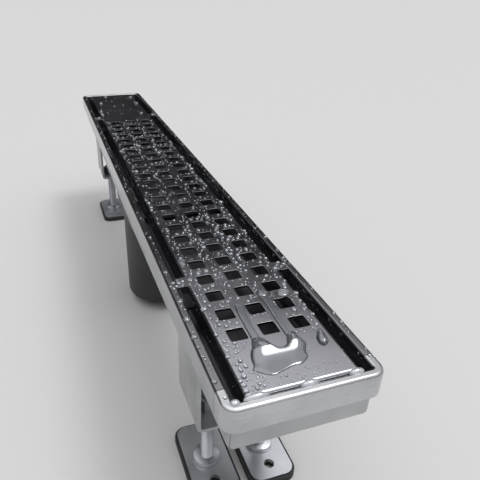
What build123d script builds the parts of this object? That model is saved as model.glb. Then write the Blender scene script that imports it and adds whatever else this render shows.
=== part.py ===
"""Linear shower drain on levelling feet: a steel channel with a perforated lift-out grate and a bottle trap.

Millimetres. X runs across the drain, Y along it and Z up. The origin is the centre of the four
floor fixing holes, on the floor that the rubber pads stand on.
"""
from build123d import *
import os

os.makedirs("parts", exist_ok=True)

# Rim frame, folded from thin sheet as an upside-down U and made of two end pieces and two rails
frame_length = 515.0
frame_width = 70.0
install_height = 125.0
frame_corner_r = 6.2
frame_sheet = 1.0
side_ledge = 4.7
end_ledge = 4.3
frame_outer_bend_r = 1.7
frame_inner_bend_r = 1.1
frame_opening_corner_r = 1.4
frame_outer_skirt = 12.0
frame_inner_skirt = 5.0
end_piece_leg = 11.5
frame_joint_gap = 0.3

# Grate, a shallow upside-down tray with a grid of square holes, a blank far end and four spacer tabs
side_slot = 5.3
grate_end_gap = 0.7
grate_sheet = 1.5
grate_flange = 12.0
grate_bend_r = 1.8
grate_corner_r = 2.0
hole_pitch = 15.0
hole_size = 8.0
hole_corner_r = 1.0
first_row_from_end = 35.0
grate_blank_end = 120.0
grate_side_margin = 8.0
tab_length = 8.0
tab_end_gap = 0.3
tab_root = 3.0
near_tab_from_end = 81.0
far_tab_from_end = 104.0

# Channel trough, whose floor falls from both ends to a flat landing round the outlet
trough_sheet = 1.5
trough_end_depth = 24.0
trough_fall = 5.0
trough_bend_r = 2.6
landing_margin = 8.0
landing_bend_r = 300.0

# Saddles, the two cross bars that the grate rests on
saddle_sheet = 1.5
saddle_width = 12.0
saddle_upturn = 5.5
saddle_bend_r = 2.5

# Outlet clamp: plate inside the trough, gasket under it, four countersunk screws
plate_side_gap = 3.3
plate_length = 92.0
plate_thickness = 3.0
clamp_corner_r = 14.0
outlet_rim = 4.0
screw_edge_x = 8.0
screw_edge_y = 9.0
screw_r = 2.5
screw_head_r = 5.0
screw_length = 16.0
screw_clearance = 0.25
thread_clearance = 0.05
gasket_thickness = 2.0
gasket_setback = 1.0

# Bottle trap: a pot as wide as the oval flange that is welded on it
trap_floor_gap = 5.5
trap_flange_inset = 1.8
trap_flange_overhang = 2.0
trap_flange_thickness = 6.0
trap_wall = 3.0
pot_base_r = 6.0
boss_r = 5.5
boss_depth = 12.5
gusset_thickness = 3.0
gusset_spacing = 20.0
gusset_reach = 15.0
gusset_drop = 26.0

# Outlet spigot, a plain stub for a 40 mm waste pipe
spigot_r = 20.0
weld_clearance = 0.05
spigot_bore_r = 18.2
spigot_length = 34.0
spigot_drop = 30.0
spigot_stop_r = 22.5
spigot_stop_gap = 1.0
spigot_stop_width = 4.0
spigot_lead_in = 1.0

# Dip tube, its seal and the hair sieve that hangs in it
seal_width = 3.0
seal_height = 2.8
seal_lip = 1.4
sliding_clearance = 0.05
dip_tube_wall = 2.0
dip_tube_overlap = 3.0
dip_tube_lip = 2.0
dip_tube_base_gap = 5.0
sieve_lip_inset = 4.0
sieve_lip = 1.5
sieve_wall = 1.2
sieve_clearance = 0.4
sieve_depth = 18.5
sieve_base_r = 3.0
sieve_hole_r = 1.5
sieve_ring_pitch = 5.5

# Foot brackets, one folded channel across the drain near each end
bracket_from_end = 72.5
bracket_inset = 3.3
bracket_length = 36.0
bracket_sheet = 2.0
bracket_bend_r = 3.5

# Levelling feet: threaded stud, foot plate and rubber pad, held by two nuts
foot_edge_distance = 9.5
foot_travel = 30.0
stud_r = 4.0
stud_tip_chamfer = 1.0
stud_proud = 2.0
stud_hole_r = 4.5
collar_r = 8.0
collar_height = 3.0
collar_clearance = 7.5
nut_across_flats = 13.0
nut_height = 6.5
locknut_height = 4.0
nut_chamfer = 0.8
running_clearance = 0.05
foot_plate_length = 50.0
foot_plate_thickness = 2.5
foot_plate_corner_r = 6.0
fixing_hole_r = 3.0
fixing_offset = 16.0
pad_thickness = 3.0
pad_lip = 1.5
pad_lip_height = 1.2
pad_clearance = 0.1
pad_spacing = 5.0

# Sizes that follow from the ones above
rim_z = install_height
opening_width = frame_width - 2 * side_ledge
opening_length = frame_length - 2 * end_ledge
joint_y = frame_length / 2 - end_piece_leg
grate_width = opening_width - 2 * side_slot
grate_length = opening_length - 2 * grate_end_gap
hole_columns = int((grate_width - 2 * grate_side_margin) // hole_pitch) + 1
hole_rows = int((grate_length - first_row_from_end - grate_blank_end) // hole_pitch) + 1
first_row_y = first_row_from_end - grate_length / 2
first_column_x = -(hole_columns - 1) / 2 * hole_pitch
grate_foot_z = rim_z - grate_flange
near_tab_y = near_tab_from_end - grate_length / 2
far_tab_y = grate_length / 2 - far_tab_from_end
trough_top_z = rim_z - frame_inner_skirt
trough_width = opening_width + 2 * trough_sheet
trough_length = opening_length + 2 * trough_sheet
trough_corner_r = frame_opening_corner_r + trough_sheet
landing_z = rim_z - trough_end_depth - trough_fall
landing_under_z = landing_z - trough_sheet
end_under_z = rim_z - trough_end_depth - trough_sheet
plate_width = opening_width - 2 * plate_side_gap
plate_top_z = landing_z + plate_thickness
outlet_r = plate_width / 2 - outlet_rim
screw_x = plate_width / 2 - screw_edge_x
screw_y = plate_length / 2 - screw_edge_y
screw_centres = [(-screw_x, -screw_y), (screw_x, -screw_y), (-screw_x, screw_y), (screw_x, screw_y)]
trap_top_z = landing_under_z - gasket_thickness
trap_flange_width = trough_width - 2 * trap_flange_inset
trap_flange_length = plate_length + 2 * trap_flange_overhang
landing_half_length = trap_flange_length / 2 + landing_margin
pot_r = trap_flange_width / 2
pot_floor_z = trap_floor_gap + trap_wall
spigot_stop_x = pot_r + spigot_stop_gap
spigot_tip_x = pot_r + spigot_length
spigot_z = trap_top_z - spigot_drop
dip_tube_r = outlet_r - seal_width
dip_tube_bore_r = dip_tube_r - dip_tube_wall
dip_tube_lip_r = outlet_r + dip_tube_overlap
dip_tube_foot_z = pot_floor_z + dip_tube_base_gap
dip_tube_top_z = plate_top_z + dip_tube_lip
sieve_top_z = dip_tube_top_z + sieve_lip
bracket_y = frame_length / 2 - bracket_from_end
bracket_width = trough_width - 2 * bracket_inset
foot_plate_z = pad_thickness
collar_z = foot_plate_z + foot_plate_thickness
locknut_z = collar_z + collar_height + foot_travel + collar_clearance
bracket_z = locknut_z + locknut_height
nut_z = bracket_z + bracket_sheet
stud_top_z = nut_z + nut_height + stud_proud
foot_x = bracket_width / 2 - bracket_sheet - foot_edge_distance
foot_centres = [(-foot_x, -bracket_y), (foot_x, -bracket_y), (-foot_x, bracket_y), (foot_x, bracket_y)]
foot_plate_width = 2 * (foot_x - pad_lip) - pad_spacing


def upright_plane(x, y):
    """A plane across the drain through one point of the floor: X to the right, Z up."""
    return Plane(origin=(x, y, 0), x_dir=(1, 0, 0), z_dir=(0, -1, 0))


def upright_axis(x, y):
    """The vertical line through one point of the floor."""
    return Axis((x, y, 0), (0, 0, 1))


def trough_side(top_z):
    """Side outline of the trough, seen across it: straight ends, sloped floor, flat landing."""
    half = trough_length / 2
    return [
        (-half, top_z),
        (-half, end_under_z),
        (-landing_half_length, landing_under_z),
        (landing_half_length, landing_under_z),
        (half, end_under_z),
        (half, top_z),
    ]


# The whole rim as one ring of folded sheet, cut into its four pieces below
with BuildPart() as frame_ring:
    with BuildSketch(Plane.XY.offset(rim_z - frame_outer_skirt)):
        RectangleRounded(frame_width, frame_length, frame_corner_r)
        RectangleRounded(opening_width, opening_length, frame_opening_corner_r, mode=Mode.SUBTRACT)
    extrude(amount=frame_outer_skirt)
    fillet(faces().sort_by(Axis.Z)[-1].outer_wire().edges(), frame_outer_bend_r)
    fillet(faces().sort_by(Axis.Z)[-1].inner_wires()[0].edges(), frame_inner_bend_r)
    # the hollow between the two skirts
    with BuildSketch(Plane.XY.offset(rim_z - frame_outer_skirt)):
        RectangleRounded(
            frame_width - 2 * frame_sheet,
            frame_length - 2 * frame_sheet,
            frame_corner_r - frame_sheet,
        )
        RectangleRounded(
            opening_width + 2 * frame_sheet,
            opening_length + 2 * frame_sheet,
            frame_opening_corner_r + frame_sheet,
            mode=Mode.SUBTRACT,
        )
    extrude(amount=frame_outer_skirt - frame_sheet, mode=Mode.SUBTRACT)
    # the inner skirt ends where the trough wall begins
    with BuildSketch(Plane.XY.offset(rim_z - frame_outer_skirt)):
        RectangleRounded(
            opening_width + 3 * frame_sheet,
            opening_length + 3 * frame_sheet,
            frame_opening_corner_r + 1.5 * frame_sheet,
        )
    extrude(amount=frame_outer_skirt - frame_inner_skirt, mode=Mode.SUBTRACT)

near_joint = Plane(origin=(0, -joint_y, 0), z_dir=(0, -1, 0))
far_joint = Plane(origin=(0, joint_y, 0), z_dir=(0, 1, 0))

with BuildPart() as frame_end_near:
    add(frame_ring.part)
    split(bisect_by=near_joint, keep=Keep.TOP)
frame_end_near.part.label = "frame_end_near"
export_step(frame_end_near.part, "parts/frame_end_near.step")

with BuildPart() as frame_end_far:
    add(frame_ring.part)
    split(bisect_by=far_joint, keep=Keep.TOP)
frame_end_far.part.label = "frame_end_far"
export_step(frame_end_far.part, "parts/frame_end_far.step")

# The rails stop a hairline short of the end pieces
with BuildPart() as frame_rail_right:
    add(frame_ring.part)
    split(bisect_by=near_joint.offset(-frame_joint_gap), keep=Keep.BOTTOM)
    split(bisect_by=far_joint.offset(-frame_joint_gap), keep=Keep.BOTTOM)
    split(bisect_by=Plane.YZ, keep=Keep.TOP)
frame_rail_right.part.label = "frame_rail_right"
export_step(frame_rail_right.part, "parts/frame_rail_right.step")

with BuildPart() as frame_rail_left:
    add(frame_rail_right.part)
    mirror(about=Plane.YZ, mode=Mode.REPLACE)
frame_rail_left.part.label = "frame_rail_left"
export_step(frame_rail_left.part, "parts/frame_rail_left.step")

# Trough: one folded sheet, open at the top, welded to the lower edge of the rim's inner skirt
with BuildPart() as channel_trough:
    with BuildSketch(Plane.YZ) as side:
        with BuildLine():
            Polyline(*trough_side(trough_top_z), close=True)
        make_face()
        landing_corners = side.vertices().filter_by(lambda v: abs(abs(v.Y) - landing_half_length) < 0.01)
        fillet(landing_corners, landing_bend_r)
    extrude(amount=trough_width / 2, both=True)
    fillet(edges().filter_by(Axis.Z), trough_corner_r)
    under = edges().filter_by(lambda e: e.bounding_box().max.Z < end_under_z + 0.01)
    bend_lines = under.filter_by(lambda e: e.bounding_box().size.X < trough_width - trough_corner_r)
    fillet(bend_lines, trough_bend_r)
    offset(amount=-trough_sheet, openings=faces().sort_by(Axis.Z)[-1])
    with BuildSketch(Plane.XY.offset(landing_under_z)):
        Circle(outlet_r)
        with Locations(*screw_centres):
            Circle(screw_r + screw_clearance)
    extrude(amount=trough_sheet, mode=Mode.SUBTRACT)
channel_trough.part.label = "channel_trough"
export_step(channel_trough.part, "parts/channel_trough.step")

# Saddles: strips bent up at both ends and spot-welded to the trough walls, under the grate's tabs
saddle_z = grate_foot_z - saddle_sheet
for end_name, saddle_y in (("near", near_tab_y), ("far", far_tab_y)):
    with BuildPart() as saddle:
        with BuildSketch(upright_plane(0, saddle_y)):
            with Locations((0, saddle_z)):
                Rectangle(opening_width, saddle_sheet + saddle_upturn, align=(Align.CENTER, Align.MIN))
            fillet(vertices().group_by(Axis.Y)[0], saddle_bend_r)
        extrude(amount=saddle_width / 2, both=True)
        with BuildSketch(upright_plane(0, saddle_y)) as strip_inside:
            with Locations((0, grate_foot_z)):
                Rectangle(
                    opening_width - 2 * saddle_sheet,
                    saddle_upturn,
                    align=(Align.CENTER, Align.MIN),
                )
            fillet(strip_inside.vertices().group_by(Axis.Y)[0], saddle_bend_r - saddle_sheet)
        extrude(amount=saddle_width / 2, both=True, mode=Mode.SUBTRACT)
    saddle.part.label = f"grate_saddle_{end_name}"
    export_step(saddle.part, f"parts/grate_saddle_{end_name}.step")

# Grate: pressed tray, open below, with its square holes in line along and across
hole_centres = [
    (first_column_x + column * hole_pitch, first_row_y + row * hole_pitch)
    for row in range(hole_rows)
    for column in range(hole_columns)
]
tab_tip_x = opening_width / 2 - tab_end_gap
tab_root_x = grate_width / 2 - tab_root
tab_centre_x = (tab_tip_x + tab_root_x) / 2
with BuildPart() as grate:
    with BuildSketch(Plane.XY.offset(grate_foot_z)):
        RectangleRounded(grate_width, grate_length, grate_corner_r)
    extrude(amount=grate_flange)
    fillet(faces().sort_by(Axis.Z)[-1].outer_wire().edges(), grate_bend_r)
    offset(amount=-grate_sheet, openings=faces().sort_by(Axis.Z)[0])
    with BuildSketch(Plane.XY.offset(rim_z - grate_sheet)):
        with Locations(*hole_centres):
            RectangleRounded(hole_size, hole_size, hole_corner_r)
    extrude(amount=grate_sheet, mode=Mode.SUBTRACT)
    # spacer tabs, left flat where the flange is cut away on both sides of them
    with BuildSketch(Plane.XY.offset(rim_z - grate_sheet)):
        with Locations(
            (-tab_centre_x, near_tab_y),
            (tab_centre_x, near_tab_y),
            (-tab_centre_x, far_tab_y),
            (tab_centre_x, far_tab_y),
        ):
            Rectangle(tab_tip_x - tab_root_x, tab_length)
    extrude(amount=grate_sheet)
grate.part.label = "grate"
export_step(grate.part, "parts/grate.step")

# Outlet plate: clamps the trough floor from above and seats the dip tube
with BuildPart() as outlet_plate:
    with BuildSketch(Plane.XY.offset(landing_z)):
        RectangleRounded(plate_width, plate_length, clamp_corner_r)
        Circle(outlet_r, mode=Mode.SUBTRACT)
    extrude(amount=plate_thickness)
    with Locations(*[(x, y, plate_top_z) for x, y in screw_centres]):
        CounterSinkHole(
            radius=screw_r + screw_clearance,
            counter_sink_radius=screw_head_r + screw_clearance,
            depth=plate_thickness,
            counter_sink_angle=90,
        )
outlet_plate.part.label = "outlet_plate"
export_step(outlet_plate.part, "parts/outlet_plate.step")

with BuildPart() as trap_gasket:
    with BuildSketch(Plane.XY.offset(trap_top_z)):
        RectangleRounded(trap_flange_width, trap_flange_length, clamp_corner_r)
        Circle(outlet_r + gasket_setback, mode=Mode.SUBTRACT)
        with Locations(*screw_centres):
            Circle(screw_r + screw_clearance, mode=Mode.SUBTRACT)
    extrude(amount=gasket_thickness)
trap_gasket.part.label = "trap_gasket"
export_step(trap_gasket.part, "parts/trap_gasket.step")

# Countersunk screws from inside the trough into the bosses of the trap flange
screw_head_height = screw_head_r - screw_r
for number, (centre_x, centre_y) in enumerate(screw_centres, start=1):
    with BuildPart() as trap_screw:
        with BuildSketch(upright_plane(centre_x, centre_y)):
            with BuildLine():
                Polyline(
                    (0, plate_top_z),
                    (screw_head_r, plate_top_z),
                    (screw_r, plate_top_z - screw_head_height),
                    (screw_r, plate_top_z - screw_length),
                    (0, plate_top_z - screw_length),
                    close=True,
                )
            make_face()
        revolve(axis=upright_axis(centre_x, centre_y))
        # hexagon socket
        with BuildSketch(Plane(origin=(centre_x, centre_y, plate_top_z))):
            RegularPolygon(0.6 * screw_r, 6, major_radius=False)
        extrude(amount=-0.6 * screw_head_height, mode=Mode.SUBTRACT)
    trap_screw.part.label = f"trap_screw_{number}"
    export_step(trap_screw.part, f"parts/trap_screw_{number}.step")

# Trap flange: moulded oval plate with four screw bosses, welded to the top of the pot
pot_bore_r = pot_r - trap_wall
trap_flange_z = trap_top_z - trap_flange_thickness
with BuildPart() as trap_flange:
    with BuildSketch(Plane.XY.offset(trap_flange_z)):
        RectangleRounded(trap_flange_width, trap_flange_length, clamp_corner_r)
        Circle(pot_bore_r, mode=Mode.SUBTRACT)
    extrude(amount=trap_flange_thickness)
    with BuildSketch(Plane.XY.offset(trap_top_z - boss_depth)):
        with Locations(*screw_centres):
            Circle(boss_r)
    extrude(amount=boss_depth)
    with BuildSketch(Plane.XY.offset(plate_top_z - screw_length - trap_wall / 2)):
        with Locations(*screw_centres):
            Circle(screw_r + thread_clearance)
    extrude(amount=screw_length, mode=Mode.SUBTRACT)
trap_flange.part.label = "trap_flange"
export_step(trap_flange.part, "parts/trap_flange.step")

# Trap housing: moulded pot with a rounded base, gussets under the flange and a socket for the spigot
with BuildPart() as trap_housing:
    with BuildSketch(Plane.XY.offset(trap_floor_gap)):
        Circle(pot_r)
    extrude(amount=trap_flange_z - trap_floor_gap)
    fillet(edges().filter_by(GeomType.CIRCLE).sort_by(Axis.Z)[0], pot_base_r)
    # gussets that stiffen the flange's overhang
    for gusset_x in (-gusset_spacing / 2, gusset_spacing / 2):
        with BuildSketch(Plane.YZ.offset(gusset_x)):
            with BuildLine():
                Polyline(
                    (pot_bore_r, trap_flange_z),
                    (pot_r + gusset_reach, trap_flange_z),
                    (pot_bore_r, trap_flange_z - gusset_drop),
                    close=True,
                )
            make_face()
            mirror(about=Plane.YZ)
        extrude(amount=gusset_thickness / 2, both=True)
    with BuildSketch(Plane.XY.offset(pot_floor_z)):
        Circle(pot_bore_r)
    extrude(amount=trap_flange_z - pot_floor_z, mode=Mode.SUBTRACT)
    with BuildSketch(Plane.YZ):
        with Locations((0, spigot_z)):
            Circle(spigot_r + weld_clearance)
    extrude(amount=pot_r, mode=Mode.SUBTRACT)
trap_housing.part.label = "trap_housing"
export_step(trap_housing.part, "parts/trap_housing.step")

# Outlet spigot: a stub welded into the side of the pot, with a bead that stops the waste pipe
with BuildPart() as outlet_spigot:
    with BuildSketch(Plane.YZ):
        with Locations((0, spigot_z)):
            Circle(spigot_r)
    extrude(amount=spigot_tip_x)
    chamfer(faces().sort_by(Axis.X)[-1].edges(), spigot_lead_in)
    with BuildSketch(Plane.YZ.offset(spigot_stop_x)):
        with Locations((0, spigot_z)):
            Circle(spigot_stop_r)
    extrude(amount=spigot_stop_width)
    # its inner end follows the bore of the pot
    with BuildSketch(Plane.XY.offset(spigot_z - pot_bore_r)):
        Circle(pot_bore_r)
    extrude(amount=2 * pot_bore_r, mode=Mode.SUBTRACT)
    with BuildSketch(Plane.YZ):
        with Locations((0, spigot_z)):
            Circle(spigot_bore_r)
    extrude(amount=spigot_tip_x, mode=Mode.SUBTRACT)
outlet_spigot.part.label = "outlet_spigot"
export_step(outlet_spigot.part, "parts/outlet_spigot.step")

# Dip tube: its lip rests on the outlet plate and its foot stands in the water of the pot
with BuildPart() as dip_tube:
    with BuildSketch(Plane.XZ):
        with BuildLine():
            Polyline(
                (dip_tube_bore_r, dip_tube_top_z),
                (dip_tube_lip_r, dip_tube_top_z),
                (dip_tube_lip_r, plate_top_z),
                (dip_tube_r, plate_top_z),
                (dip_tube_r, dip_tube_foot_z),
                (dip_tube_bore_r, dip_tube_foot_z),
                close=True,
            )
        make_face()
    revolve(axis=Axis.Z)
dip_tube.part.label = "dip_tube"
export_step(dip_tube.part, "parts/dip_tube.step")

# Rubber ring under the dip tube's lip, with a tapered lower edge
seal_bore_r = dip_tube_r + sliding_clearance
seal_r = outlet_r - sliding_clearance
with BuildPart() as dip_tube_seal:
    with BuildSketch(Plane.XZ):
        with BuildLine():
            Polyline(
                (seal_bore_r, plate_top_z),
                (seal_r, plate_top_z),
                (seal_r, plate_top_z - seal_height + seal_lip),
                (seal_r - seal_lip, plate_top_z - seal_height),
                (seal_bore_r, plate_top_z - seal_height),
                close=True,
            )
        make_face()
    revolve(axis=Axis.Z)
dip_tube_seal.part.label = "dip_tube_seal"
export_step(dip_tube_seal.part, "parts/dip_tube_seal.step")

# Hair sieve: a drawn cup with a lip and a ringed pattern of round holes in its base
sieve_r = dip_tube_bore_r - sieve_clearance
sieve_foot_z = sieve_top_z - sieve_depth
sieve_rings = int((sieve_r - sieve_base_r - sieve_hole_r) // sieve_ring_pitch)
with BuildPart() as hair_sieve:
    with BuildSketch(Plane.XY.offset(sieve_foot_z)):
        Circle(sieve_r)
    extrude(amount=sieve_depth)
    fillet(edges().sort_by(Axis.Z)[0], sieve_base_r)
    offset(amount=-sieve_wall, openings=faces().sort_by(Axis.Z)[-1])
    with BuildSketch(Plane.XY.offset(dip_tube_top_z)):
        Circle(dip_tube_lip_r - sieve_lip_inset)
        Circle(sieve_r - sieve_wall, mode=Mode.SUBTRACT)
    extrude(amount=sieve_lip)
    with BuildSketch(Plane.XY.offset(sieve_foot_z)):
        Circle(sieve_hole_r)
        for ring in range(1, sieve_rings + 1):
            with PolarLocations(ring * sieve_ring_pitch, 6 * ring):
                Circle(sieve_hole_r)
    extrude(amount=sieve_wall, mode=Mode.SUBTRACT)
hair_sieve.part.label = "hair_sieve"
export_step(hair_sieve.part, "parts/hair_sieve.step")

# Foot brackets: folded channels whose sides are cut to the slope of the trough floor
for end_name, centre_y in (("near", -bracket_y), ("far", bracket_y)):
    with BuildPart() as foot_bracket:
        with BuildSketch(upright_plane(0, centre_y)) as fold:
            with Locations((0, bracket_z)):
                Rectangle(bracket_width, rim_z - bracket_z, align=(Align.CENTER, Align.MIN))
            fillet(fold.vertices().group_by(Axis.Y)[0], bracket_bend_r)
        extrude(amount=bracket_length / 2, both=True)
        with BuildSketch(upright_plane(0, centre_y)) as fold_inside:
            with Locations((0, nut_z)):
                Rectangle(
                    bracket_width - 2 * bracket_sheet,
                    rim_z - nut_z,
                    align=(Align.CENTER, Align.MIN),
                )
            fillet(fold_inside.vertices().group_by(Axis.Y)[0], bracket_bend_r - bracket_sheet)
        extrude(amount=bracket_length / 2, both=True, mode=Mode.SUBTRACT)
        with BuildSketch(Plane.YZ):
            with BuildLine():
                Polyline(*trough_side(rim_z), close=True)
            make_face()
        extrude(amount=bracket_width / 2, both=True, mode=Mode.SUBTRACT)
        with BuildSketch(Plane(origin=(0, centre_y, bracket_z))):
            with Locations((-foot_x, 0), (foot_x, 0)):
                Circle(stud_hole_r)
        extrude(amount=bracket_sheet, mode=Mode.SUBTRACT)
    foot_bracket.part.label = f"foot_bracket_{end_name}"
    export_step(foot_bracket.part, f"parts/foot_bracket_{end_name}.step")


def hexagon_nut(x, y, z, height):
    """A hexagon nut with both rims chamfered and a bore that runs on the stud."""
    corner_r = nut_across_flats / 2 / 0.866
    rim_r = corner_r - nut_chamfer
    with BuildPart() as nut:
        with BuildSketch(Plane(origin=(x, y, z))):
            RegularPolygon(nut_across_flats / 2, 6, major_radius=False)
        extrude(amount=height)
        with BuildSketch(upright_plane(x, y)):
            with BuildLine():
                Polyline(
                    (0, z),
                    (rim_r, z),
                    (corner_r, z + nut_chamfer / 2),
                    (corner_r, z + height - nut_chamfer / 2),
                    (rim_r, z + height),
                    (0, z + height),
                    close=True,
                )
            make_face()
        revolve(axis=upright_axis(x, y), mode=Mode.INTERSECT)
        with BuildSketch(Plane(origin=(x, y, z))):
            Circle(stud_r + running_clearance)
        extrude(amount=height, mode=Mode.SUBTRACT)
    return nut


# The four levelling feet and the nuts that hold each stud to its bracket
for number, (stud_x, stud_y) in enumerate(foot_centres, start=1):
    outward = fixing_offset if stud_y > 0 else -fixing_offset

    with BuildPart() as foot_stud:
        with BuildSketch(upright_plane(stud_x, stud_y)):
            with BuildLine():
                Polyline(
                    (0, foot_plate_z),
                    (stud_r, foot_plate_z),
                    (stud_r, collar_z),
                    (collar_r, collar_z),
                    (collar_r, collar_z + collar_height),
                    (stud_r, collar_z + collar_height),
                    (stud_r, stud_top_z - stud_tip_chamfer),
                    (stud_r - stud_tip_chamfer, stud_top_z),
                    (0, stud_top_z),
                    close=True,
                )
            make_face()
        revolve(axis=upright_axis(stud_x, stud_y))
    foot_stud.part.label = f"foot_stud_{number}"
    export_step(foot_stud.part, f"parts/foot_stud_{number}.step")

    with BuildPart() as foot_plate:
        with BuildSketch(Plane(origin=(stud_x, stud_y, foot_plate_z))):
            RectangleRounded(foot_plate_width, foot_plate_length, foot_plate_corner_r)
            Circle(stud_r + running_clearance, mode=Mode.SUBTRACT)
            with Locations((0, outward)):
                Circle(fixing_hole_r, mode=Mode.SUBTRACT)
        extrude(amount=foot_plate_thickness)
    foot_plate.part.label = f"foot_plate_{number}"
    export_step(foot_plate.part, f"parts/foot_plate_{number}.step")

    with BuildPart() as foot_pad:
        with BuildSketch(Plane(origin=(stud_x, stud_y, 0))):
            RectangleRounded(
                foot_plate_width + 2 * pad_lip,
                foot_plate_length + 2 * pad_lip,
                foot_plate_corner_r + pad_lip,
            )
            with Locations((0, outward)):
                Circle(fixing_hole_r, mode=Mode.SUBTRACT)
        extrude(amount=pad_thickness + pad_lip_height)
        with BuildSketch(Plane(origin=(stud_x, stud_y, foot_plate_z))):
            RectangleRounded(
                foot_plate_width + 2 * pad_clearance,
                foot_plate_length + 2 * pad_clearance,
                foot_plate_corner_r + pad_clearance,
            )
        extrude(amount=pad_lip_height, mode=Mode.SUBTRACT)
    foot_pad.part.label = f"foot_pad_{number}"
    export_step(foot_pad.part, f"parts/foot_pad_{number}.step")

    foot_nut = hexagon_nut(stud_x, stud_y, nut_z, nut_height)
    foot_nut.part.label = f"foot_nut_{number}"
    export_step(foot_nut.part, f"parts/foot_nut_{number}.step")

    foot_locknut = hexagon_nut(stud_x, stud_y, locknut_z, locknut_height)
    foot_locknut.part.label = f"foot_locknut_{number}"
    export_step(foot_locknut.part, f"parts/foot_locknut_{number}.step")
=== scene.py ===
"""Looks of a linear shower drain: a wet rim and grate of satin steel over a trough, a trap and four feet."""

import math
import random

import bpy
from mathutils import Matrix, Vector


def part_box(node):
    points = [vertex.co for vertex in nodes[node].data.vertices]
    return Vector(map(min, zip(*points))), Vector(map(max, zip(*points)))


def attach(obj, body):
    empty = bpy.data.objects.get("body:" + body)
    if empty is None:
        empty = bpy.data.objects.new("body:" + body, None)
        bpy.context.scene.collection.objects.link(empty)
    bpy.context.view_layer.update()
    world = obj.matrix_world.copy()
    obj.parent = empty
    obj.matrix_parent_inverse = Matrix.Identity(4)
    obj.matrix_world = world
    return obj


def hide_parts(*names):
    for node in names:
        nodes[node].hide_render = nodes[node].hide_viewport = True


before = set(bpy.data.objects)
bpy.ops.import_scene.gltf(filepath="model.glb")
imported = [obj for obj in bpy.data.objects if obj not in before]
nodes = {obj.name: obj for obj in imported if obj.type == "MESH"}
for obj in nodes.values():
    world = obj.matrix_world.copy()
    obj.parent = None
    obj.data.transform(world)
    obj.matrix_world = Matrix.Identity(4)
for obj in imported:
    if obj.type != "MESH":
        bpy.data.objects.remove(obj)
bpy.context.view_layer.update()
mm = 0.001

# The camera stands low at one end of the drain and looks along it, as the photograph does.
camera_place = (-0.0805225, -0.3728821, 0.2642371)
camera_turn = (61.128, -0.869, -18.413)
bpy.ops.object.select_all(action="DESELECT")
bpy.ops.object.camera_add(location=camera_place, rotation=[math.radians(a) for a in camera_turn])
camera = bpy.context.object
camera.data.sensor_width = 36.0
camera.data.lens = 37.036
camera.data.shift_x = 0.0591
camera.data.clip_start = 0.01
bpy.context.scene.camera = camera
bpy.context.scene.view_settings.view_transform = "Standard"

# A plain pale floor, matt and nearly even, that the four rubber pads stand on.
bpy.ops.mesh.primitive_circle_add(vertices=96, radius=14.0, fill_type="NGON")
floor = bpy.context.object
floor.name = "floor"
floor_paint = bpy.data.materials.new("pale floor")
floor_paint.use_nodes = True
paint = floor_paint.node_tree.nodes["Principled BSDF"]
paint.inputs["Base Color"].default_value = (0.585, 0.585, 0.577, 1)
paint.inputs["Roughness"].default_value = 0.9
paint.inputs["Specular IOR Level"].default_value = 0.2
floor.data.materials.append(floor_paint)

# Soft studio light: a dome that is brightest straight overhead and dim near the horizon, dimmest past
# the far end. Its tones are given from the horizon, at 0, to overhead, at 1.
dome_strength = 1.7
far_tones = [(0.0, 0.022), (0.30, 0.024), (0.48, 0.026), (0.55, 0.05), (0.60, 0.15), (0.65, 0.67),
             (0.84, 0.68), (0.93, 1.0), (1.0, 1.0)]
side_tones = [(0.0, 0.245), (0.30, 0.26), (0.50, 0.31), (0.63, 0.47), (0.74, 0.62), (0.84, 0.68),
              (0.93, 1.0), (1.0, 1.0)]
world = bpy.data.worlds.new("studio dome")
bpy.context.scene.world = world
world.use_nodes = True
tree = world.node_tree
links = tree.links
direction = tree.nodes.new("ShaderNodeTexCoord")
parts_of = tree.nodes.new("ShaderNodeSeparateXYZ")
links.new(direction.outputs["Generated"], parts_of.inputs[0])
ramps = []
for tones in (side_tones, far_tones):
    ramp = tree.nodes.new("ShaderNodeValToRGB")
    ramp.color_ramp.interpolation = "EASE"
    stops = ramp.color_ramp.elements
    for place, tone in tones:
        stop = stops[0] if place == 0.0 else stops[-1] if place == 1.0 else stops.new(place)
        stop.color = (tone, tone, tone * 1.02, 1)
    links.new(parts_of.outputs["Z"], ramp.inputs[0])
    ramps.append(ramp)
towards_far_end = tree.nodes.new("ShaderNodeMapRange")
towards_far_end.interpolation_type = "SMOOTHSTEP"
towards_far_end.inputs["From Min"].default_value = 0.15
towards_far_end.inputs["From Max"].default_value = 0.75
links.new(parts_of.outputs["Y"], towards_far_end.inputs["Value"])
blend_tones = tree.nodes.new("ShaderNodeMix")
blend_tones.data_type = "RGBA"
links.new(towards_far_end.outputs[0], blend_tones.inputs[0])
links.new(ramps[0].outputs[0], blend_tones.inputs[6])
links.new(ramps[1].outputs[0], blend_tones.inputs[7])
links.new(blend_tones.outputs[2], tree.nodes["Background"].inputs["Color"])

# One soft window, high over the right side, gives water and bends their highlights.
window_direction = Vector((0.38, 0.0, 0.92)).normalized()
window_edge, window_core = math.cos(math.radians(13)), math.cos(math.radians(3))
window_glow = 11.0
towards_window = tree.nodes.new("ShaderNodeVectorMath")
towards_window.operation = "DOT_PRODUCT"
towards_window.inputs[1].default_value = window_direction
links.new(direction.outputs["Generated"], towards_window.inputs[0])
window_light = tree.nodes.new("ShaderNodeMapRange")
window_light.interpolation_type = "SMOOTHSTEP"
window_light.inputs["From Min"].default_value = window_edge
window_light.inputs["From Max"].default_value = window_core
window_light.inputs["To Min"].default_value = dome_strength
window_light.inputs["To Max"].default_value = dome_strength + window_glow
links.new(towards_window.outputs["Value"], window_light.inputs["Value"])
links.new(window_light.outputs[0], tree.nodes["Background"].inputs["Strength"])


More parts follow.
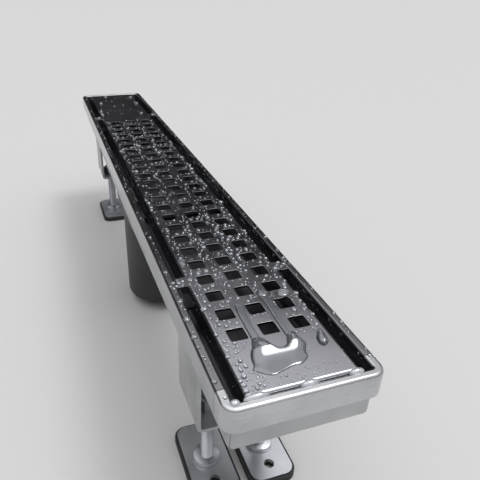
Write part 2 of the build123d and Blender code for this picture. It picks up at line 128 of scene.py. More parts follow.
# Rim frame: four pieces of folded stainless sheet, welded at hairline joints near the corners.
# Its top and skirts are satin brushed along each piece, with cloudy handling marks.
def brushed_steel(name, colour, roughness, along, grain=0.35, cloud=0.12):
    """Satin stainless steel, brushed along one axis of the object."""
    steel = bpy.data.materials.new(name)
    steel.use_nodes = True
    tree = steel.node_tree
    links = tree.links
    shader = tree.nodes["Principled BSDF"]
    shader.inputs["Metallic"].default_value = 1.0
    place = tree.nodes.new("ShaderNodeTexCoord")
    stretch = tree.nodes.new("ShaderNodeMapping")
    across_scale, along_scale = 5200, 90
    stretch.inputs["Scale"].default_value = [along_scale if axis == along else across_scale for axis in "XYZ"]
    links.new(place.outputs["Object"], stretch.inputs[0])
    lines = tree.nodes.new("ShaderNodeTexNoise")
    lines.inputs["Scale"].default_value = 1.0
    lines.inputs["Detail"].default_value = 4.0
    links.new(stretch.outputs[0], lines.inputs["Vector"])
    patches = tree.nodes.new("ShaderNodeTexNoise")
    patches.inputs["Scale"].default_value = 38.0
    patches.inputs["Detail"].default_value = 5.0
    links.new(place.outputs["Object"], patches.inputs["Vector"])
    tone = tree.nodes.new("ShaderNodeValToRGB")
    tone.color_ramp.elements[0].position = 0.30
    tone.color_ramp.elements[0].color = (*[c * (1 - cloud) for c in colour], 1)
    tone.color_ramp.elements[1].position = 0.70
    tone.color_ramp.elements[1].color = (*[min(1, c * (1 + cloud)) for c in colour], 1)
    links.new(patches.outputs["Fac"], tone.inputs[0])
    shade = tree.nodes.new("ShaderNodeMix")
    shade.data_type = "RGBA"
    shade.blend_type = "OVERLAY"
    shade.inputs[0].default_value = grain
    links.new(tone.outputs[0], shade.inputs[6])
    links.new(lines.outputs["Fac"], shade.inputs[7])
    links.new(shade.outputs[2], shader.inputs["Base Color"])
    polish = tree.nodes.new("ShaderNodeMath")
    polish.operation = "ADD"
    links.new(lines.outputs["Fac"], polish.inputs[0])
    links.new(patches.outputs["Fac"], polish.inputs[1])
    polish_range = tree.nodes.new("ShaderNodeMapRange")
    polish_range.inputs["From Min"].default_value = 0.7
    polish_range.inputs["From Max"].default_value = 1.3
    polish_range.inputs["To Min"].default_value = roughness - 0.06
    polish_range.inputs["To Max"].default_value = roughness + 0.08
    links.new(polish.outputs[0], polish_range.inputs["Value"])
    links.new(polish_range.outputs[0], shader.inputs["Roughness"])
    scratch = tree.nodes.new("ShaderNodeBump")
    scratch.inputs["Strength"].default_value = 0.10
    scratch.inputs["Distance"].default_value = 0.00002
    links.new(lines.outputs["Fac"], scratch.inputs["Height"])
    links.new(scratch.outputs[0], shader.inputs["Normal"])
    return steel


def finish_node(name, material):
    """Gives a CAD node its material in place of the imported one."""
    node = nodes[name]
    node.data.materials.clear()
    node.data.materials.append(material)


def calculate(tree, operation, first, second=0.0):
    """One arithmetic node of a material; each input is a number or another node's output."""
    node = tree.nodes.new("ShaderNodeMath")
    node.operation = operation
    for socket, value in zip(node.inputs, (first, second)):
        if isinstance(value, bpy.types.NodeSocket):
            tree.links.new(value, socket)
        else:
            socket.default_value = value
    return node.outputs[0]


def object_axes(tree):
    """The X, Y and Z of a point on the object, for a material to work with."""
    place = tree.nodes.new("ShaderNodeTexCoord")
    axes = tree.nodes.new("ShaderNodeSeparateXYZ")
    tree.links.new(place.outputs["Object"], axes.inputs[0])
    return axes.outputs


def lay_over(tree, where, colour, blend):
    """Blends a colour with a material's own where the given output is 1."""
    base = tree.nodes["Principled BSDF"].inputs["Base Color"]
    layer = tree.nodes.new("ShaderNodeMix")
    layer.data_type = "RGBA"
    layer.blend_type = blend
    layer.inputs[7].default_value = colour
    tree.links.new(where, layer.inputs[0])
    tree.links.new(base.links[0].from_socket, layer.inputs[6])
    tree.links.new(layer.outputs[2], base)


rail_steel = brushed_steel("satin steel along", (0.47, 0.475, 0.49), 0.21, "Y")
# The end pieces are the same steel as the rails, painted a lighter tone: painted light.
end_steel = brushed_steel("satin steel across", (0.54, 0.545, 0.56), 0.24, "X")
for side in ("left", "right"):
    finish_node(f"frame_rail_{side}", rail_steel)
for end in ("near", "far"):
    finish_node(f"frame_end_{end}", end_steel)

# The tops of the rails, with their ledges, are painted dimmer than the skirts below them: painted shade.
wet_above_z = 123.8 * mm
wet_dimming = 0.48
tree = rail_steel.node_tree
on_ledge = calculate(tree, "GREATER_THAN", object_axes(tree)["Z"], wet_above_z)
lay_over(tree, on_ledge, (wet_dimming, wet_dimming, wet_dimming, 1), "MULTIPLY")

# Grate: a pressed stainless tray with three columns of square holes, brushed along its length. It rests
# on two saddles, centred in the rim by four tabs. Its punched and cut edges are eased by a hair.
edge_ease = 0.25 * mm
grate_steel = brushed_steel("satin grate steel", (0.36, 0.362, 0.385), 0.17, "Y", grain=0.2)
eased_mesh = nodes["grate"].data.copy()
eased_mesh.transform(nodes["grate"].matrix_world)
eased_mesh.materials.clear()
eased_mesh.materials.append(grate_steel)
eased_grate = bpy.data.objects.new("eased_grate", eased_mesh)
bpy.context.scene.collection.objects.link(eased_grate)
bpy.ops.object.select_all(action="DESELECT")
eased_grate.select_set(True)
bpy.context.view_layer.objects.active = eased_grate
bpy.ops.mesh.customdata_custom_splitnormals_clear()
bpy.ops.object.mode_set(mode="EDIT")
bpy.ops.mesh.select_all(action="SELECT")
bpy.ops.mesh.remove_doubles(threshold=0.000001)
bpy.ops.mesh.dissolve_limited(angle_limit=math.radians(0.5))
bpy.ops.object.mode_set(mode="OBJECT")
easing = eased_grate.modifiers.new("easing", "BEVEL")
easing.width = edge_ease
easing.segments = 2
easing.limit_method = "ANGLE"
easing.angle_limit = math.radians(50)
easing.use_clamp_overlap = False
bpy.ops.object.modifier_apply(modifier="easing")
bpy.ops.object.shade_smooth_by_angle(angle=math.radians(35))
even = eased_grate.modifiers.new("even", "WEIGHTED_NORMAL")
even.mode = "FACE_AREA"
even.weight = 100
even.keep_sharp = True
bpy.ops.object.modifier_apply(modifier="even")
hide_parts("grate")
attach(eased_grate, "channel")

# Trough: one folded sheet, welded under the rim and pickled dull and pale. Its inside is painted dark grey as
# shade, so that little light comes back up through the holes and slots.
trough_sheet = 1.5 * mm
trough_fall = 5.0 * mm
landing_half_length = 56.0 * mm
film_colour = (0.16, 0.163, 0.172, 1)
trough_low, trough_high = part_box("channel_trough")
trough_steel = brushed_steel("pickled steel", (0.46, 0.465, 0.47), 0.42, "Y", grain=0.15, cloud=0.18)

# The painted shade is on what faces inwards, which lies inside the middle of the sheet on every side.
tree = trough_steel.node_tree
axes = object_axes(tree)
across = calculate(tree, "ABSOLUTE", axes["X"])
between_walls = calculate(tree, "LESS_THAN", across, trough_high.x - trough_sheet / 2)
along = calculate(tree, "ABSOLUTE", axes["Y"])
between_ends = calculate(tree, "LESS_THAN", along, trough_high.y - trough_sheet / 2)
up_the_slope = calculate(tree, "MAXIMUM", calculate(tree, "SUBTRACT", along, landing_half_length), 0.0)
slope = trough_fall / (trough_high.y - landing_half_length)
floor_height = calculate(tree, "MULTIPLY", up_the_slope, slope)
height_on_floor = calculate(tree, "SUBTRACT", axes["Z"], floor_height)
above_floor = calculate(tree, "GREATER_THAN", height_on_floor, trough_low.z + trough_sheet / 2)
inside = calculate(tree, "MULTIPLY", calculate(tree, "MULTIPLY", between_walls, between_ends), above_floor)
lay_over(tree, inside, film_colour, "MIX")
finish_node("channel_trough", trough_steel)

# Saddles, outlet plate and foot brackets: the same pickled sheet. The saddles and the plate lie in the trough
# and are painted dark as shade, while the brackets under it keep the sheet's own colour.
filmed_steel = brushed_steel("sheet steel with painted shade", (0.10, 0.10, 0.105), 0.40, "X", grain=0.15, cloud=0.25)
bracket_steel = brushed_steel("bracket steel", (0.46, 0.465, 0.47), 0.40, "X", grain=0.15, cloud=0.18)
for name in ("grate_saddle_near", "grate_saddle_far", "outlet_plate"):
    finish_node(name, filmed_steel)
for end in ("near", "far"):
    finish_node(f"foot_bracket_{end}", bracket_steel)

# Outlet screws and hair sieve: bright stainless, a little dulled by water. The four countersunk screws
# clamp the trap to the trough floor. The sieve is a drawn cup that hangs in the mouth of the dip tube.
sieve_steel = brushed_steel("sieve steel", (0.50, 0.50, 0.51), 0.30, "Z", grain=0.15, cloud=0.15)
screw_steel = brushed_steel("screw steel", (0.55, 0.55, 0.56), 0.24, "Z", grain=0.2, cloud=0.10)
finish_node("hair_sieve", sieve_steel)
for number in range(1, 5):
    finish_node(f"trap_screw_{number}", screw_steel)


# Trap flange, pot and spigot: black polypropylene mouldings with a fine spark texture, welded to one
# another. The screws draw the flange up against a gasket under the trough.
def moulded(name, colour, roughness, variation, grain_scale, grain_depth, metallic=0.0):
    """A cast or moulded finish: slightly uneven colour and gloss over a fine grain."""
    finish = bpy.data.materials.new(name)
    finish.use_nodes = True
    tree = finish.node_tree
    links = tree.links
    shader = tree.nodes["Principled BSDF"]
    shader.inputs["Metallic"].default_value = metallic
    place = tree.nodes.new("ShaderNodeTexCoord")
    clouds = tree.nodes.new("ShaderNodeTexNoise")
    clouds.inputs["Scale"].default_value = 60.0
    clouds.inputs["Detail"].default_value = 6.0
    grain = tree.nodes.new("ShaderNodeTexNoise")
    grain.inputs["Scale"].default_value = grain_scale
    grain.inputs["Detail"].default_value = 3.0
    tone = tree.nodes.new("ShaderNodeValToRGB")
    for stop, position, factor in zip(tone.color_ramp.elements, (0.32, 0.68), (1 - variation, 1 + variation)):
        stop.position = position
        stop.color = (*[min(1.0, c * factor) for c in colour], 1)
    gloss = tree.nodes.new("ShaderNodeMapRange")
    gloss.inputs["To Min"].default_value = roughness - 0.08
    gloss.inputs["To Max"].default_value = roughness + 0.08
    bump = tree.nodes.new("ShaderNodeBump")
    bump.inputs["Strength"].default_value = 0.4
    bump.inputs["Distance"].default_value = grain_depth
    links.new(place.outputs["Object"], clouds.inputs["Vector"])
    links.new(place.outputs["Object"], grain.inputs["Vector"])
    links.new(clouds.outputs["Fac"], tone.inputs[0])
    links.new(tone.outputs[0], shader.inputs["Base Color"])
    links.new(clouds.outputs["Fac"], gloss.inputs["Value"])
    links.new(gloss.outputs[0], shader.inputs["Roughness"])
    links.new(grain.outputs["Fac"], bump.inputs["Height"])
    links.new(bump.outputs[0], shader.inputs["Normal"])
    return finish


trap_plastic = moulded("black moulding", (0.024, 0.024, 0.026), 0.46, 0.25, 2600, 0.00012)
for name in ("trap_flange", "trap_housing", "outlet_spigot"):
    finish_node(name, trap_plastic)

# Dip tube: a smooth grey moulding that rests by its lip on the outlet plate, over a rubber ring, and
# lifts out. The gasket between the trough and the trap is of the same rubber.
finish_node("dip_tube", moulded("grey moulding", (0.20, 0.205, 0.21), 0.38, 0.12, 1800, 0.00004))
seal_rubber = moulded("seal rubber", (0.016, 0.016, 0.017), 0.62, 0.30, 3200, 0.00008)
finish_node("trap_gasket", seal_rubber)
finish_node("dip_tube_seal", seal_rubber)

# Levelling feet: pressed plates, zinc plated, on black rubber pads. Two zinc-plated hexagon nuts, one
# above the bracket's web and one below it, hold each foot at its height.
zinc = moulded("zinc plate", (0.50, 0.51, 0.535), 0.34, 0.10, 900, 0.00002, metallic=1.0)
pad_rubber = moulded("pad rubber", (0.020, 0.020, 0.021), 0.70, 0.30, 2400, 0.00015)
for number in range(1, 5):
    for part in ("plate", "nut", "locknut"):
        finish_node(f"foot_{part}_{number}", zinc)
    finish_node(f"foot_pad_{number}", pad_rubber)

# Studs: M8 rods with a rolled thread above a pressed collar, riveted into the foot plates. One is
# modelled at the origin, and the four in the drain are copies of it.
thread_pitch = 1.25 * mm
thread_root_r = 3.35 * mm
thread_crest_r = 3.96 * mm
turns_below, turns_above = 2, 1
thread_in_collar = 0.3 * mm
collar_r = 8.0 * mm
collar_low, collar_top = 5.5 * mm, 8.5 * mm
collar_edge_r = 0.4 * mm
rivet_r = 4.0 * mm
stud_low, stud_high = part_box("foot_stud_1")
bpy.ops.object.select_all(action="DESELECT")
collar_middle = (0, 0, (collar_low + collar_top) / 2)
collar_height = collar_top - collar_low
bpy.ops.mesh.primitive_cylinder_add(vertices=48, radius=collar_r, depth=collar_height, location=collar_middle)
collar = bpy.context.object
bpy.ops.object.transform_apply(location=True)
bpy.ops.object.mode_set(mode="EDIT")
bpy.ops.mesh.select_all(action="DESELECT")
bpy.ops.object.mode_set(mode="OBJECT")
# The rivet is drawn down from the collar's underside.
for face in collar.data.polygons:
    face.select = face.normal.z < -0.9
bpy.ops.object.mode_set(mode="EDIT")
bpy.ops.mesh.inset(thickness=collar_r - rivet_r)
bpy.ops.mesh.extrude_region_move(TRANSFORM_OT_translate={"value": (0, 0, stud_low.z - collar_low)})
bpy.ops.object.mode_set(mode="OBJECT")
rounding = collar.modifiers.new("rounding", "BEVEL")
rounding.width = collar_edge_r
rounding.segments = 2
rounding.limit_method = "ANGLE"
bpy.ops.object.modifier_apply(modifier="rounding")

# The thread is one turn of its profile, four edges from root to crest and back, wound up the rod. Each
# corner of the profile has a radius and a height in pitches.
thread_profile = [(thread_root_r, 0.0), (thread_root_r, 0.14), (thread_crest_r, 0.50), (thread_crest_r, 0.64)]
bpy.ops.object.select_all(action="DESELECT")
bpy.ops.mesh.primitive_plane_add(size=1.0)
thread = bpy.context.object
bpy.ops.object.mode_set(mode="EDIT")
bpy.ops.mesh.select_all(action="SELECT")
bpy.ops.mesh.delete(type="ONLY_FACE")
bpy.ops.mesh.select_all(action="DESELECT")
bpy.ops.object.mode_set(mode="OBJECT")
corners_in_order = (0, 1, 3, 2)
first_corner, last_corner = corners_in_order[0], corners_in_order[-1]
for corner, (radius, turn) in zip(corners_in_order, thread_profile):
    thread.data.vertices[corner].co = (radius, 0, turn * thread_pitch)
for edge in thread.data.edges:
    edge.select = set(edge.vertices) == {first_corner, last_corner}
bpy.ops.object.mode_set(mode="EDIT")
bpy.ops.mesh.delete(type="EDGE")
bpy.ops.mesh.select_all(action="DESELECT")
bpy.ops.object.mode_set(mode="OBJECT")
thread.data.vertices[last_corner].select = True
bpy.ops.object.mode_set(mode="EDIT")
back_to_root = (thread_root_r - thread_crest_r, 0, (1 - thread_profile[-1][1]) * thread_pitch)
bpy.ops.mesh.extrude_region_move(TRANSFORM_OT_translate={"value": back_to_root})
bpy.ops.mesh.select_all(action="SELECT")
bpy.ops.transform.translate(value=(0, 0, collar_top - turns_below * thread_pitch))
bpy.ops.object.mode_set(mode="OBJECT")
thread_turns = math.ceil((stud_high.z - collar_top) / thread_pitch) + turns_below + turns_above
winding = thread.modifiers.new("winding", "SCREW")
winding.axis = "Z"
winding.angle = math.radians(360)
winding.screw_offset = thread_pitch
winding.iterations = thread_turns
winding.steps = winding.render_steps = 20
winding.use_merge_vertices = True
winding.merge_threshold = 0.00001
bpy.ops.object.modifier_apply(modifier="winding")
bpy.ops.object.mode_set(mode="EDIT")
bpy.ops.mesh.select_all(action="SELECT")
bpy.ops.mesh.remove_doubles(threshold=0.000005)
thread_foot, thread_top = (0, 0, collar_top - thread_in_collar), (0, 0, stud_high.z)
bpy.ops.mesh.select_all(action="SELECT")
bpy.ops.mesh.bisect(plane_co=thread_foot, plane_no=(0, 0, 1), use_fill=True, clear_inner=True)
bpy.ops.mesh.select_all(action="SELECT")
bpy.ops.mesh.bisect(plane_co=thread_top, plane_no=(0, 0, 1), use_fill=True, clear_outer=True)
bpy.ops.mesh.select_all(action="SELECT")
bpy.ops.mesh.normals_make_consistent(inside=False)
bpy.ops.object.mode_set(mode="OBJECT")
collar.select_set(True)
bpy.context.view_layer.objects.active = collar
thread.select_set(True)
bpy.ops.object.join()
bpy.ops.object.shade_smooth_by_angle(angle=math.radians(28))
for number in range(1, 5):
    low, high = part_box(f"foot_stud_{number}")
    mesh = collar.data.copy()
    mesh.transform(Matrix.Translation(((low.x + high.x) / 2, (low.y + high.y) / 2, 0)))
    mesh.materials.clear()
    mesh.materials.append(zinc)
    stud = bpy.data.objects.new(f"threaded_stud_{number}", mesh)
    bpy.context.scene.collection.objects.link(stud)
    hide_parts(f"foot_stud_{number}")
    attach(stud, f"foot_{number}")
bpy.data.objects.remove(collar)

# Water lies on the wet drain as clear drops and one pool. A drop is a low dome, whose foot is sunk a
# hair into the steel so that no air shows under it. Copies are made of a fine master and a large one.
def clear_water(name, colour, clearness, mirror):
    """Water on bright steel: part of it mirrors as the steel under it does, and the rest lets light in."""
    water = bpy.data.materials.new(name)
    water.use_nodes = True
    tree = water.node_tree
    shader = tree.nodes["Principled BSDF"]
    shader.inputs["Base Color"].default_value = (*colour, 1)
    shader.inputs["Metallic"].default_value = mirror
    shader.inputs["Transmission Weight"].default_value = clearness
    shader.inputs["IOR"].default_value = 1.33
    haze = tree.nodes.new("ShaderNodeTexNoise")
    haze.inputs["Scale"].default_value = 90.0
    haze_range = tree.nodes.new("ShaderNodeMapRange")
    haze_range.inputs["To Min"].default_value = 0.01
    haze_range.inputs["To Max"].default_value = 0.08
    place = tree.nodes.new("ShaderNodeTexCoord")
    tree.links.new(place.outputs["Object"], haze.inputs["Vector"])
    tree.links.new(haze.outputs["Fac"], haze_range.inputs["Value"])
    tree.links.new(haze_range.outputs[0], shader.inputs["Roughness"])
    return water


water = clear_water("clear water", (0.88, 0.90, 0.93), 1.0, 0.16)
# The bright water is milky and less clear, so that the drops at the near end show pale: painted light for the
# highlights they catch.
bright_water = clear_water("bright water", (0.86, 0.88, 0.91), 0.6, 0.25)
pool_water = clear_water("pool water", (0.43, 0.443, 0.465), 0.85, 0.34)
streak_water = clear_water("streak water", (0.58, 0.60, 0.63), 0.92, 0.12)
drop_sunk = 0.06 * mm
cut_below_middle = 0.2
large_drop_r = 1.45 * mm

# A master is a ball of radius 1, cut a little below its middle and pressed to a height of 1.
masters = []
for sides, rings in ((10, 8), (28, 16)):
    bpy.ops.object.select_all(action="DESELECT")
    bpy.ops.mesh.primitive_uv_sphere_add(segments=sides, ring_count=rings, radius=1.0)
    master = bpy.context.object
    bpy.ops.object.mode_set(mode="EDIT")
    bpy.ops.mesh.select_all(action="SELECT")
    foot_plane = (0, 0, -cut_below_middle)
    bpy.ops.mesh.bisect(plane_co=foot_plane, plane_no=(0, 0, 1), use_fill=True, clear_inner=True)
    bpy.ops.mesh.select_all(action="SELECT")
    bpy.ops.transform.translate(value=(0, 0, cut_below_middle))
    bpy.ops.object.mode_set(mode="OBJECT")
    master.data.transform(Matrix.Diagonal((1, 1, 1 / (1 + cut_below_middle), 1)))
    bpy.ops.object.shade_smooth_by_angle(angle=math.radians(60))
    masters.append(master)
fine_master, large_master = masters


def drop_at(place, radius, height, outward=(0, 0, 1), slim=1.0, turn=0.0):
    """A copy of a master drop with its own mesh, sitting on a surface that faces outward."""
    lean = Vector(outward).to_track_quat("Z", "Y").to_matrix().to_4x4()
    size = Matrix.Diagonal((radius * slim, radius / slim, height + drop_sunk, 1))
    foot = Vector(place) - Vector(outward) * drop_sunk
    master = large_master if radius > large_drop_r else fine_master
    mesh = master.data.copy()
    mesh.transform(Matrix.Translation(foot) @ lean @ Matrix.Rotation(turn, 4, "Z") @ size)
    drop = bpy.data.objects.new("drop", mesh)
    bpy.context.scene.collection.objects.link(drop)
    return drop


def gather_water(name, drops, finish=water):
    """Joins drops that lie on one part into one piece of water, carried by the channel."""
    bpy.ops.object.select_all(action="DESELECT")
    for drop in drops:
        drop.select_set(True)
    bpy.context.view_layer.objects.active = drops[0]
    bpy.ops.object.join()
    piece = bpy.context.object
    piece.name = name
    piece.data.name = name
    piece.data.materials.clear()
    piece.data.materials.append(finish)
    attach(piece, "channel")
    return piece


# Fine drops all over the grate, thin on the bare plate at its near end, more so to the right, and thick
# between the holes. They keep off the holes, off each other and off the pool and its two streaks.
grate_low, grate_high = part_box("grate")
rim_z = grate_high.z
hole_pitch = 15.0 * mm
hole_half = 4.0 * mm
first_row_y = -217.5 * mm
hole_rows = 24
outer_column = 1
scatter = random.Random(11)


def in_a_hole(x, y, reach):
    """Whether a drop of this reach would hang over one of the square holes."""
    row = round((y - first_row_y) / hole_pitch)
    column = round(x / hole_pitch)
    if not 0 <= row < hole_rows or abs(column) > outer_column:
        return False
    off_x = abs(x - column * hole_pitch)
    off_y = abs(y - first_row_y - row * hole_pitch)
    return max(off_x, off_y) < hole_half + reach


def is_free(x, y, radius, taken, spacing):
    """Whether a drop keeps its distance, as a share of both radii, from all that is there already."""
    for taken_x, taken_y, taken_r in taken:
        apart = (radius + taken_r) * spacing
        if abs(x - taken_x) < apart and math.hypot(x - taken_x, y - taken_y) < apart:
            return False
    return True


# Distances and heights are shares of a drop's radius. The higher smallness is, the commoner small ones are.
drop_spacing = 1.1
hole_clearance = 0.95
smallness = 2.2
tries_for_each = 40
half_a_turn = 3.1
drop_rises = (0.62, 0.85)
drop_slims = (0.86, 1.14)


def scatter_drops(count, x_range, y_range, radii, taken):
    """Random drops on the top of the grate that overlap no hole and no drop that is there already."""
    smallest, largest = radii
    found = []
    tries = 0
    while len(found) < count and tries < tries_for_each * count:
        tries += 1
        x = scatter.uniform(*x_range)
        y = scatter.uniform(*y_range)
        radius = smallest + (largest - smallest) * scatter.random() ** smallness
        if in_a_hole(x, y, radius * hole_clearance) or not is_free(x, y, radius, taken, drop_spacing):
            continue
        taken.append((x, y, radius))
        height = radius * scatter.uniform(*drop_rises)
        slim = scatter.uniform(*drop_slims)
        turn = scatter.uniform(0, half_a_turn)
        found.append(drop_at((x, y, rim_z), radius, height, slim=slim, turn=turn))
    return found


# The pool and its two streaks have their places first, as circles that cover them: x, y and radius. The
# circles of a streak stand in a row, whose top, step and radius are in millimetres.
streak_top_y, streak_step, streak_circle_r = -197.0, 4.0, 2.2
streak_circles = 7
grate_taken = [(-3.5 * mm, -234.0 * mm, 10.5 * mm), (-11.0 * mm, -234.0 * mm, 6.5 * mm)]
for streak_x in (-7.8, 7.0):
    for step in range(streak_circles):
        grate_taken.append((streak_x * mm, (streak_top_y - streak_step * step) * mm, streak_circle_r * mm))

# Larger, flatter drops: x, y, half width and half length in millimetres. The last two lie on the ledge.
large_drops = [
    (-22.0, -153.6, 2.3, 3.6), (7.8, -193.0, 2.7, 2.5), (17.6, -195.6, 3.4, 3.0), (21.7, -188.2, 1.5, 1.5),
    (-22.6, -170.7, 1.7, 1.7), (-32.8, -200.9, 1.7, 1.7), (-32.2, -186.7, 1.7, 1.7),
]
large_drop_rise = 0.42
grate_drops = []
for x, y, half_x, half_y in large_drops:
    radius = math.sqrt(half_x * half_y)
    grate_taken.append((x * mm, y * mm, radius * mm))
    rise = large_drop_rise * radius * mm
    grate_drops.append(drop_at((x * mm, y * mm, rim_z), radius * mm, rise, slim=half_x / radius))

# Each zone has a count, an x range in metres, and a y range and radii in millimetres. The grate's box
# takes in its tabs, 5 mm past its flanks, and the drops keep 1.2 mm inside those.
flat_top_inset = 6.2 * mm
left_x = grate_low.x + flat_top_inset
right_x = grate_high.x - flat_top_inset
zones = (
    (50, (left_x, -13 * mm), (-250, -221), (0.4, 1.35)),
    (16, (9 * mm, right_x), (-250, -224), (0.3, 0.75)),
    (26, (-13 * mm, 9 * mm), (-251, -243), (0.25, 0.7)),
    (80, (left_x, right_x), (-222, -100), (1.0, 1.7)),
    (180, (left_x, right_x), (-224, -100), (0.5, 1.2)),
    (260, (left_x, right_x), (-224, -60), (0.25, 0.6)),
    (60, (left_x, right_x), (-100, 132), (1.1, 1.9)),
    (270, (left_x, right_x), (-100, 134), (0.6, 1.3)),
    (7, (left_x, right_x), (140, 244), (2.0, 2.6)),
    (24, (left_x, right_x), (134, 246), (0.5, 1.0)),
)
for count, x_range, y_range, radii in zones:
    y_limits = [y * mm for y in y_range]
    radius_limits = [r * mm for r in radii]
    grate_drops += scatter_drops(count, x_range, y_limits, radius_limits, grate_taken)
gather_water("drops_on_grate", grate_drops)


# Drops on the two ledges of the rim, larger on the left. The larger ones are placed and the rest are
# scattered. All have a deep foot, because the ledges fall away at their rounded bends.
def deep_drop(x, y, radius, height, foot, slim=1.0):
    """A drop that stands this high over the rim and whose foot reaches this far below its top."""
    return drop_at((x, y, rim_z - foot), radius, height + foot, slim=slim)


ledge_drop_foot = 0.35 * mm
ledge_x = 32.4 * mm
# Ranges, radii and places are in millimetres, heights and distances in shares of a drop's radius.
ledge_reach = 1.1
ledge_y_range = (-250, 240)
ledge_spacing = 1.05
ledge_smallness = 1.6
ledge_smallest_r = 0.3
placed_rise = 0.7
ledge_rises = (0.6, 0.8)
ledge_slims = (0.9, 1.1)
left_ledge = [(-33.0, -201.6, 1.45), (-33.2, -214.2, 1.35), (-33.4, -220.7, 1.0), (-32.4, -187.4, 1.3),
              (-33.2, -241.4, 1.1), (-32.6, -176.0, 1.2), (-32.8, -160.5, 1.4), (-32.5, -121.0, 1.3),
              (-33.0, -228.5, 0.8), (-32.6, -234.0, 0.6), (-32.0, -206.5, 0.55), (-32.2, -250.2, 0.9)]
right_ledge = [(33.0, -155.9, 1.2), (32.4, -164.8, 1.3), (33.2, -217.0, 1.15), (33.0, -223.8, 1.0),
               (33.2, -242.8, 0.9), (33.6, -248.1, 0.7), (32.6, -140.0, 1.2), (32.2, -231.0, 0.7)]
rim_taken = [(x * mm, y * mm, r * mm) for x, y, r in left_ledge + right_ledge]
rim_drops = []
for x, y, radius in rim_taken:
    rim_drops.append(deep_drop(x, y, radius, radius * placed_rise, ledge_drop_foot))
for side, count, largest_r in ((-1, 120, 0.95), (1, 150, 0.85)):
    for _ in range(count):
        share = scatter.random() ** ledge_smallness
        radius = (ledge_smallest_r + (largest_r - ledge_smallest_r) * share) * mm
        x = side * ledge_x + scatter.uniform(-ledge_reach, ledge_reach) * mm
        y = scatter.uniform(*ledge_y_range) * mm
        if is_free(x, y, radius, rim_taken, ledge_spacing):
            rim_taken.append((x, y, radius))
            height = radius * scatter.uniform(*ledge_rises)
            slim = scatter.uniform(*ledge_slims)
            rim_drops.append(deep_drop(x, y, radius, height, ledge_drop_foot, slim))
gather_water("drops_on_rim", rim_drops)

# Fine drops that cling to two upright faces: the inner skirt of the rim on the right, and the grate's
# left flank. Each face has its x, a count, the largest radius and how far down its drops hang, in
# millimetres but for the count.
clinging_smallest_r = 0.25
clinging_y_range = (-248, 60)
clinging_rise = 0.6
clinging_faces = (
    (30.3, 90, 0.7, (1.6, 4.4)),
    (-25.0, 60, 0.6, (2.2, 8.0)),
)
skirt_drops = []
for face_x, count, largest_r, depths in clinging_faces:
    for _ in range(count):
        radius = scatter.uniform(clinging_smallest_r, largest_r) * mm
        place = (face_x * mm, scatter.uniform(*clinging_y_range) * mm, rim_z - scatter.uniform(*depths) * mm)
        skirt_drops.append(drop_at(place, radius, radius * clinging_rise, outward=(-1, 0, 0)))
gather_water("drops_on_skirts", skirt_drops)

# Clusters of larger drops on the four spacer tabs and the ledge beside each, across the hairline gap
# between tab and rim. They have the deep foot of the drops on the ledges.
tab_drop_rise = 0.75
tab_drops = [(-31.6, -171.6, 1.5), (-28.9, -172.4, 1.35), (-26.6, -171.2, 1.2), (-30.6, -174.2, 1.0),
             (-27.6, -174.6, 0.9), (-33.4, -173.8, 0.8), (-29.0, -169.6, 0.8), (-32.2, -176.8, 0.9),
             (27.4, -168.8, 1.3), (29.8, -170.6, 1.2), (25.6, -170.9, 0.95), (27.6, -172.6, 1.0),
             (31.8, -168.2, 1.0), (30.6, -173.6, 0.8), (25.4, -174.0, 0.7), (33.2, -171.4, 0.8),
             (-28.4, 148.2, 2.1), (-31.8, 147.2, 1.3), (28.6, 148.8, 2.1), (31.6, 150.2, 1.2)]
gather_water("drops_on_tabs", [
    deep_drop(x * mm, y * mm, r * mm, r * mm * tab_drop_rise, ledge_drop_foot) for x, y, r in tab_drops
])


# The pool on the bare plate, the two streaks that feed it and one drop beside it. Each is cut to its
# outline, raised in steps and then relaxed as surface tension does.
pool_sunk = 0.05
pool_under = 1.5

# Shares of the height: how far the bank rises from the outline, and each step inwards and up from there.
bank = 0.35
steps_inward_and_up = ((0.16, 0.25), (0.25, 0.20), (0.4, 0.13), (0.5, 0.07))


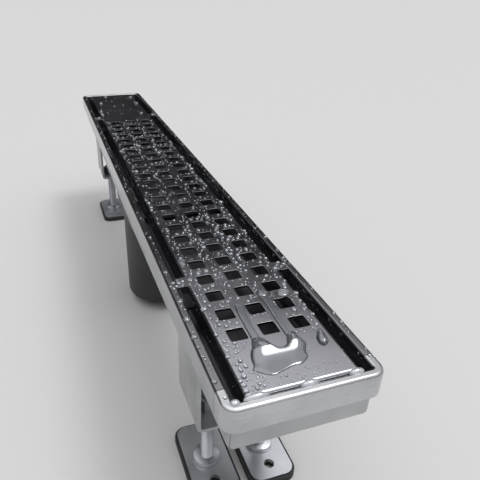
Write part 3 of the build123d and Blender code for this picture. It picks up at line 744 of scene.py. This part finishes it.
def water_pool(name, outline, height, finish, grid, relax):
    """Water with an outline in millimetres that stands about this high over the rim."""
    # A clockwise outline, whose area comes out negative, is turned round, so that its face points up.
    area = sum(x1 * y2 - x2 * y1 for (x1, y1), (x2, y2) in zip(outline, outline[1:] + outline[:1]))
    if area < 0:
        outline = outline[::-1]
    bpy.ops.object.select_all(action="DESELECT")
    bpy.ops.mesh.primitive_circle_add(vertices=len(outline), radius=0.01, fill_type="NGON")
    pool = bpy.context.object
    for vertex, (x, y) in zip(pool.data.vertices, outline):
        vertex.co = (x * mm, y * mm, rim_z - (pool_sunk + pool_under) * mm)
    bpy.ops.object.mode_set(mode="EDIT")
    bpy.ops.mesh.select_all(action="SELECT")
    upward = {"value": (0, 0, (pool_sunk + pool_under + bank * height) * mm)}
    bpy.ops.mesh.extrude_region_move(TRANSFORM_OT_translate=upward)
    for inward, rise in steps_inward_and_up:
        bpy.ops.mesh.inset(thickness=inward * height * mm, depth=rise * height * mm)
    bpy.ops.mesh.select_all(action="SELECT")
    bpy.ops.mesh.quads_convert_to_tris()
    bpy.ops.mesh.normals_make_consistent(inside=False)
    bpy.ops.object.mode_set(mode="OBJECT")
    remesh = pool.modifiers.new("skin", "REMESH")
    remesh.mode = "VOXEL"
    remesh.voxel_size = grid * mm
    tension = pool.modifiers.new("tension", "SMOOTH")
    tension.factor = 0.5
    tension.iterations = relax
    for modifier in ("skin", "tension"):
        bpy.ops.object.modifier_apply(modifier=modifier)
    bpy.ops.object.mode_set(mode="EDIT")
    bpy.ops.mesh.select_all(action="SELECT")
    foot_plane = (0, 0, rim_z - pool_sunk * mm)
    bpy.ops.mesh.bisect(plane_co=foot_plane, plane_no=(0, 0, 1), use_fill=True, clear_inner=True)
    bpy.ops.object.mode_set(mode="OBJECT")
    bpy.ops.object.shade_smooth_by_angle(angle=math.radians(60))
    return gather_water(name, [pool], finish)


pool_outline = [
    (-10.9, -223.5), (-12.6, -228.9), (-14.1, -230.3), (-15.3, -234.3), (-15.5, -237.9), (-17.3, -240.2),
    (-14.1, -242.7), (-11.2, -244.7), (-9.2, -245.1), (-4.6, -243.7), (-0.5, -242.6), (4.0, -242.5),
    (6.1, -241.0), (8.3, -239.6), (8.4, -236.8), (9.5, -234.5), (10.8, -233.0), (9.6, -229.9),
    (9.2, -227.0), (7.6, -224.4), (4.9, -225.0), (2.7, -230.4), (0.6, -232.0), (-1.7, -232.0),
    (-3.7, -230.4), (-4.7, -227.4), (-5.5, -225.2), (-7.7, -223.8),
]
left_streak = [
    (-8.7, -197.3), (-6.5, -196.7), (-5.2, -198.8), (-5.7, -206.2), (-6.3, -215.8), (-6.1, -224.3),
    (-10.5, -224.6), (-10.0, -213.2), (-9.7, -205.0),
]
right_streak = [
    (5.7, -192.3), (8.4, -191.0), (9.9, -193.6), (9.1, -203.6), (8.3, -212.9), (7.8, -225.1),
    (4.9, -225.5), (5.0, -213.4), (5.6, -203.4),
]
side_drop = [
    (19.8, -225.4), (21.6, -226.7), (21.5, -230.2), (20.8, -234.1), (18.0, -235.5), (16.3, -233.4),
    (16.7, -230.1),
]

# The pool slumps towards the near end, from its full height at the crest to about a fifth at its foot.
pool_crest_y, pool_foot_y, pool_foot_share = -231.5 * mm, -244.0 * mm, 0.22
pool = water_pool("pool_on_plate", pool_outline, 3.6, pool_water, grid=0.35, relax=45)
for vertex in pool.data.vertices:
    rise = vertex.co.z - rim_z
    if rise > 0:
        uphill = min(1.0, max(0.0, (vertex.co.y - pool_foot_y) / (pool_crest_y - pool_foot_y)))
        vertex.co.z = rim_z + rise * (pool_foot_share + (1 - pool_foot_share) * uphill ** 2)
water_pool("streak_left", left_streak, 0.6, streak_water, grid=0.25, relax=20)
water_pool("streak_right", right_streak, 0.55, streak_water, grid=0.25, relax=20)
water_pool("drop_by_the_pool", side_drop, 2.1, pool_water, grid=0.3, relax=30)

# Long bright drops that bridge the narrow gap between the near end of the grate and the rim, and one in
# the corner. Their feet reach down into the gap. Each has its x, y, half width and half length in
# millimetres.
end_gap_foot = 1.2 * mm
gap_drop_rise = 1.2 * mm
gap_drops = {
    "gap_drop_1": (-20.6, -252.8, 5.4, 1.8),
    "gap_drop_2": (1.7, -252.8, 4.1, 1.8),
    "gap_drop_3": (22.5, -252.8, 3.5, 1.8),
    "corner_drop": (-29.6, -253.6, 2.2, 1.9),
}
# These drops get the bright water, whose milky paleness is painted light.
for name, (x, y, half_x, half_y) in gap_drops.items():
    radius = math.sqrt(half_x * half_y)
    drop = deep_drop(x * mm, y * mm, radius * mm, gap_drop_rise, end_gap_foot, slim=half_x / radius)
    gather_water(name, [drop], bright_water)

for master in masters:
    bpy.data.objects.remove(master)
